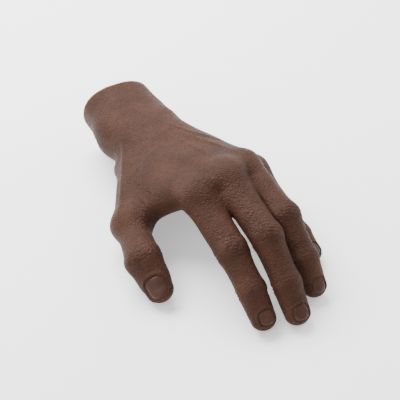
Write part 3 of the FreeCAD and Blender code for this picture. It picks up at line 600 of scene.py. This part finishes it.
def face_owners():
    """0 is the palm; 1 + 3 * digit + joint is the skin over that joint."""
    p = points[quads].mean(1)
    d = digit_distances(p)
    nearest = d.argmin(0)
    owner = np.zeros(len(p), int)
    for k, digit in enumerate(DIGITS):
        bones = BONES[digit]
        second = local(CHAINS[digit][1], p)[:, 0] > 0.5 * bones[1]
        if digit == "thumb":
            mine = (nearest == k) & (d[k] < 2.5) & (local(HALF[digit][1], p)[:, 0] > -8)
            owner[mine] = 1 + 3 * k + 1 + second[mine]
        else:
            mine = (nearest == k) & (d[k] < 7) & (local(HALF[digit][0], p)[:, 0] > -13)
            first = local(CHAINS[digit][0], p)[:, 0] > 0.5 * bones[0]
            owner[mine] = 1 + 3 * k + first[mine] + (first & second)[mine]
    moves = thumb_weight(points, digit_distances(points)) > 0.002
    owner[(owner == 0) & moves[quads].any(1)] = 13
    return owner


owner = face_owners()
lowest = np.full(len(points), 99)
highest = np.zeros(len(points), int)
for corner in range(4):
    np.minimum.at(lowest, quads[:, corner], owner)
    np.maximum.at(highest, quads[:, corner], owner)


def piece_weight(verts, number):
    digit, joint = DIGITS[(number - 1) // 3], (number - 1) % 3
    p = points[verts]
    if joint == 0:
        d = digit_distances(p)
        w = thumb_weight(p, d) if digit == "thumb" else finger_weight(p, digit, d)
    else:
        reach = min(8.0, 0.4 * BONES[digit][1])
        w = soft(local(HALF[digit][joint], p)[:, 0], -reach, reach)
        if digit == "thumb" and joint == 1:
            w *= 1 - soft(sample(raw_fields["thumb"], p), 0.8, 2.4)
    low, high = lowest[verts], highest[verts]
    edge = low != high
    same = edge & (low > 0) & ((low - 1) // 3 == (high - 1) // 3)
    if joint == 0:
        w[edge & ~same] = 0
    w[same & (low == number)] = 1
    w[same & (high == number)] = 0
    return w


def add_object(name, mesh, *materials):
    for m in materials:
        mesh.materials.append(m)
    obj = bpy.data.objects.new(name, mesh)
    bpy.context.scene.collection.objects.link(obj)
    return obj


def cut_piece(name, number, *materials):
    faces = quads[owner == number]
    verts, flat = np.unique(faces, return_inverse=True)
    mesh = new_mesh(name, points[verts], flat.reshape(faces.shape))
    obj = add_object(name, mesh, *materials)
    mesh.normals_split_custom_set_from_vertices([tuple(n) for n in normals[verts]])
    return obj, verts


# ---------------------------------------------------------------- materials


class Nodes:
    """A short way to write a node tree."""

    def __init__(self, name):
        self.material = bpy.data.materials.new(name)
        self.material.use_nodes = True
        self.tree = self.material.node_tree
        self.tree.nodes.clear()
        self.out = self.add("ShaderNodeOutputMaterial")
        self.surface = self.add("ShaderNodeBsdfPrincipled")
        self.link(self.surface, "BSDF", self.out, "Surface")
        self.place = self.add("ShaderNodeTexCoord")

    def add(self, kind, **values):
        item = self.tree.nodes.new(kind)
        for key, value in values.items():
            setattr(item, key, value)
        return item

    def link(self, a, output, b, entry):
        self.tree.links.new(a.outputs[output], b.inputs[entry])

    def noise(self, scale, detail=4.0, rough=0.6):
        n = self.add("ShaderNodeTexNoise")
        self.link(self.place, "Object", n, "Vector")
        n.inputs["Scale"].default_value = scale
        n.inputs["Detail"].default_value = detail
        n.inputs["Roughness"].default_value = rough
        return n

    def cells(self, scale, feature="F1"):
        n = self.add("ShaderNodeTexVoronoi", feature=feature)
        self.link(self.place, "Object", n, "Vector")
        n.inputs["Scale"].default_value = scale
        return n

    def ramp(self, source, output, stops):
        n = self.add("ShaderNodeValToRGB")
        self.link(source, output, n, "Fac")
        for element, (place, colour) in zip(n.color_ramp.elements, stops):
            element.position = place
            element.color = tuple(colour) + (1.0,)
        return n

    def span(self, source, output, low, high):
        n = self.add("ShaderNodeMapRange")
        self.link(source, output, n, "Value")
        n.inputs["To Min"].default_value = low
        n.inputs["To Max"].default_value = high
        return n

    def bump(self, source, output, strength, distance, before=None):
        n = self.add("ShaderNodeBump")
        self.link(source, output, n, "Height")
        n.inputs["Strength"].default_value = strength
        n.inputs["Distance"].default_value = distance
        if before:
            self.link(before, "Normal", n, "Normal")
        self.tree.links.new(n.outputs["Normal"], self.surface.inputs["Normal"])
        return n

    def set(self, **values):
        for key, value in values.items():
            self.surface.inputs[key.replace("_", " ")].default_value = value


def skin_material(name, dark, light, rough):
    n = Nodes(name)
    tone = n.ramp(n.noise(45.0, 6.0, 0.65), "Fac", ((0.32, dark), (0.7, light)))
    n.link(tone, "Color", n.surface, "Base Color")
    n.link(n.span(n.noise(260.0, 3.0), "Fac", rough - 0.08, rough + 0.1), "Result",
           n.surface, "Roughness")
    lines = n.bump(n.cells(520.0, "DISTANCE_TO_EDGE"), "Distance", 0.8, 0.0011)
    pores = n.bump(n.cells(1300.0), "Distance", 0.5, 0.0004, lines)
    n.bump(n.noise(240.0, 5.0, 0.7), "Fac", 0.5, 0.0012, pores)
    n.set(Specular_IOR_Level=0.11)
    return n.material


def nail_material():
    n = Nodes("nail")
    tone = n.ramp(n.noise(120.0, 3.0), "Fac",
                  ((0.3, (0.036, 0.0145, 0.0090)), (0.75, (0.058, 0.0240, 0.0150))))
    n.link(tone, "Color", n.surface, "Base Color")
    n.bump(n.noise(500.0, 2.0), "Fac", 0.08, 0.0002)
    n.set(Roughness=0.34, Specular_IOR_Level=0.22)
    return n.material


def metal_material(name, colour, rough, metallic=1.0):
    n = Nodes(name)
    paler = tuple(min(1.0, c * 1.12) for c in colour)
    tone = n.ramp(n.noise(90.0, 4.0), "Fac", ((0.3, colour), (0.7, paler)))
    n.link(tone, "Color", n.surface, "Base Color")
    n.link(n.span(n.noise(900.0, 2.0), "Fac", rough - 0.06, rough + 0.08), "Result",
           n.surface, "Roughness")
    n.bump(n.noise(1400.0, 2.0), "Fac", 0.1, 0.0001)
    n.set(Metallic=metallic)
    return n.material


SKIN = skin_material("skin", (0.034, 0.0130, 0.0074), (0.060, 0.0240, 0.0138), 0.55)
RIM = skin_material("cuff_rim", (0.22, 0.075, 0.026), (0.30, 0.11, 0.04), 0.5)
NAIL = nail_material()
FINISH = {
    "skin": SKIN,
    "nail": NAIL,
    "padding": skin_material("padding", (0.25, 0.16, 0.12), (0.33, 0.22, 0.16), 0.7),
    "alloy": metal_material("alloy", (0.52, 0.53, 0.55), 0.38),
    "steel": metal_material("steel", (0.60, 0.60, 0.62), 0.24),
    "brake": metal_material("brake", (0.045, 0.045, 0.05), 0.6, 0.0),
}
for row in frame["record"]["subparts"]:
    node = frame["nodes"][row["node"]]
    node.data.materials.clear()
    node.data.materials.append(FINISH[row["material_slot"]])

# ---------------------------------------------------------------- skin pieces
RIM_START, INSIDE_START = 10.9, -9.0   # where the bare silicone colour of the cuff shows
palm_skin, _ = cut_piece("skin_palm", 0, SKIN, RIM)
face_out = normals[quads[owner == 0]].mean(1)
centre = points[quads[owner == 0]].mean(1)
inside = (centre[:, 0] * face_out[:, 0] + centre[:, 2] * face_out[:, 2]) < 0
rim = ((centre[:, 1] > RIM_START) | (inside & (centre[:, 1] > INSIDE_START))).astype(np.int32)
palm_skin.data.polygons.foreach_set("material_index", rim)
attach(palm_skin, "palm")
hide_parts("palm_glove", "palm_padding")

for number in range(1, 16):
    digit, joint = DIGITS[(number - 1) // 3], (number - 1) % 3
    parts = ["palm"] + ["%s_%s" % (digit, s) for s in SEGMENTS[digit]]
    piece, verts = cut_piece("skin_%s_%d" % (digit, joint + 1), number, SKIN)
    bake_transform(piece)
    weights = piece_weight(verts, number).astype(np.float32)
    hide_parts(parts[joint + 1] + "_sleeve")


# ---------------------------------------------------------------- nails
def top_of_skin(frame_matrix, xy):
    """The height of the skin over points of a distal frame."""
    heights = np.linspace(16, -2, 73)
    step = heights[0] - heights[1]
    best = np.zeros(len(xy))
    found = np.zeros(len(xy), bool)
    above = None
    for z in heights:
        p = world(frame_matrix, np.c_[xy, np.full(len(xy), z)])
        d = sample(hand_field, p)
        if above is not None:
            cross = ~found & (above > 0) & (d <= 0)
            best[cross] = z + step * (-d / (above - d))[cross]
            found |= cross
        above = d
    return best


NAIL_LINES, NAIL_THICK = 41, 0.7


def make_nail(digit):
    half, long = NAILS[digit]
    line = np.linspace(-1, 1, NAIL_LINES)
    u, v = [g.ravel() for g in np.meshgrid(line, line, indexing="ij")]
    r = np.maximum(np.abs(u), np.abs(v))
    turn = np.arctan2(v, u)
    cos, sin = np.cos(turn), np.sin(turn)
    x = BONES[digit][2] - NAIL_END - long / 2 + long / 2 * r * np.sign(cos) * np.abs(cos) ** (2 / 3)
    y = half * r * np.sign(sin) * np.abs(sin) ** (2 / 3)
    room = CHAINS[digit][2]
    z = top_of_skin(room, np.c_[x, y])
    front = soft(x, BONES[digit][2] - NAIL_END - 2.5, BONES[digit][2] - NAIL_END)
    lift = 0.30 - (0.62 - 0.5 * front) * soft(r, 0.82, 1.0) + 0.25 * front
    top = world(room, np.c_[x, y, z + lift])
    under = world(room, np.c_[x, y, z + lift - NAIL_THICK])
    n = NAIL_LINES
    i, j = [g.ravel() for g in np.meshgrid(range(n - 1), range(n - 1), indexing="ij")]
    upper = np.stack([i * n + j, (i + 1) * n + j, (i + 1) * n + j + 1, i * n + j + 1], 1)
    lower = upper[:, ::-1] + n * n
    ring = np.r_[np.arange(n), np.arange(2 * n - 1, n * n, n), np.arange(n * n - 2, n * n - n - 1, -1),
                 np.arange(n * n - 2 * n, 0, -n)]
    after = np.roll(ring, -1)
    side = np.stack([after, ring, ring + n * n, after + n * n], 1)
    mesh = new_mesh("nail_" + digit, np.r_[top, under], np.r_[upper, lower, side])
    obj = add_object("nail_" + digit, mesh, NAIL)
    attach(obj, "%s_distal" % digit)
    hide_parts(digit + "_nail")


for digit in DIGITS:
    make_nail(digit)

# ---------------------------------------------------------------- floor, light and camera
FLOOR_REACH = 3000.0
corners = np.array([(i * FLOOR_REACH, j * FLOOR_REACH, FLOOR)
                    for i, j in ((-1, -1), (1, -1), (1, 1), (-1, 1))])
floor_mesh = new_mesh("floor", corners, np.array([[0, 1, 2, 3]]))
paper = Nodes("floor")
paper.link(paper.span(paper.noise(3.0), "Fac", 0.88, 0.9), "Result", paper.surface, "Roughness")
paper.set(Base_Color=(0.93, 0.93, 0.93, 1.0), Specular_IOR_Level=0.1, Emission_Strength=0.42,
          Emission_Color=(1.0, 1.0, 1.0, 1.0))
add_object("floor", floor_mesh, paper.material)

sky = bpy.data.worlds.new("studio")
sky.use_nodes = True
sky.node_tree.nodes["Background"].inputs["Color"].default_value = (1.0, 1.0, 1.0, 1.0)
sky.node_tree.nodes["Background"].inputs["Strength"].default_value = 0.85
bpy.context.scene.world = sky


def aim(obj, back):
    """Turn a lamp or camera so that it looks against the direction back."""
    obj.rotation_euler = Vector(back).to_track_quat("Z", "Y").to_euler()


def softbox(name, place, size, power, colour):
    lamp = bpy.data.lights.new(name, "AREA")
    lamp.shape = "RECTANGLE"
    lamp.size, lamp.size_y = size
    lamp.energy = power
    lamp.color = colour
    obj = bpy.data.objects.new(name, lamp)
    bpy.context.scene.collection.objects.link(obj)
    obj.location = place
    aim(obj, Vector(place) - Vector((0.0, -0.1, 0.0)))


softbox("overhead", (-0.1, 0.5, 0.75), (0.9, 0.6), 33.0, (0.96, 0.98, 1.0))
softbox("wide_fill", (-0.9, -0.5, 0.8), (1.0, 1.0), 6.0, (1.0, 0.98, 0.96))
softbox("far_side", (0.9, 0.1, 0.5), (0.8, 0.8), 6.5, (0.95, 0.97, 1.0))

CAMERA_TURN, CAMERA_TILT = math.radians(-28.73), math.radians(40.8)
CAMERA_TARGET = Vector((0.01515, -0.10134, -0.008))
CAMERA_FAR, CAMERA_LEFT, CAMERA_DOWN = 0.73217, 0.00856, 0.001
back = Vector((math.sin(CAMERA_TURN) * math.cos(CAMERA_TILT),
               -math.cos(CAMERA_TURN) * math.cos(CAMERA_TILT), math.sin(CAMERA_TILT)))
right = Vector((math.cos(CAMERA_TURN), math.sin(CAMERA_TURN), 0.0))
lens = bpy.data.cameras.new("camera")
lens.lens = 101.53
lens.sensor_width = 36.0
camera = bpy.data.objects.new("camera", lens)
bpy.context.scene.collection.objects.link(camera)
camera.location = (CAMERA_TARGET + back * CAMERA_FAR - right * CAMERA_LEFT
                   - back.cross(right) * CAMERA_DOWN)
aim(camera, back)
bpy.context.scene.camera = camera
